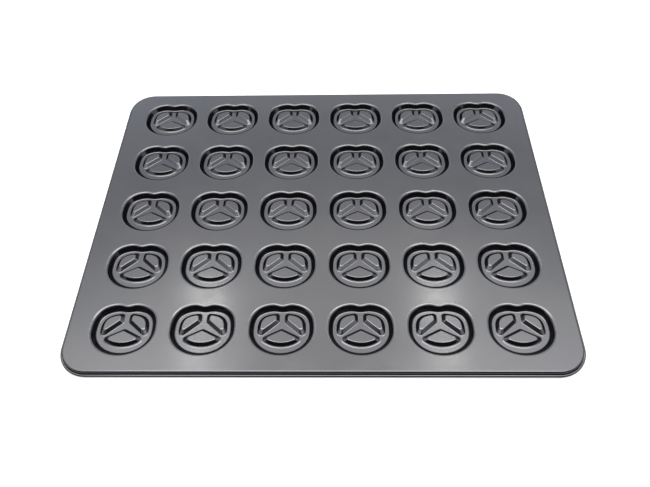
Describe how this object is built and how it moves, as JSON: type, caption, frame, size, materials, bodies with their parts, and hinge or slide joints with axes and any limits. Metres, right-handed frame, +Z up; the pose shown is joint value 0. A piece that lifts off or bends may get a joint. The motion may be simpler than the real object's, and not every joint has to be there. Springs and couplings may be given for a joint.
{
  "type": "pretzel baking tray",
  "caption": "Rectangular coated steel baking tray with a grid of shallow pretzel-shaped cavities and a flanged rim curled round a stiffening wire.",
  "frame": {"origin": "centre of the tray's outline, on the plane that the undersides of the cavities rest on", "axes": "+X to the right along the long side, +Y to the back along the short side, +Z up out of the cavities"},
  "size_m": [0.5, 0.4, 0.0068],
  "materials": {
    "non_stick_coating": "semi-gloss dark grey non-stick coating",
    "wire_steel": "plain drawn steel"
  },
  "bodies": {
    "root": {"tray_sheet": "non_stick_coating", "rim_wire": "wire_steel"}
  },
  "joints": []
}
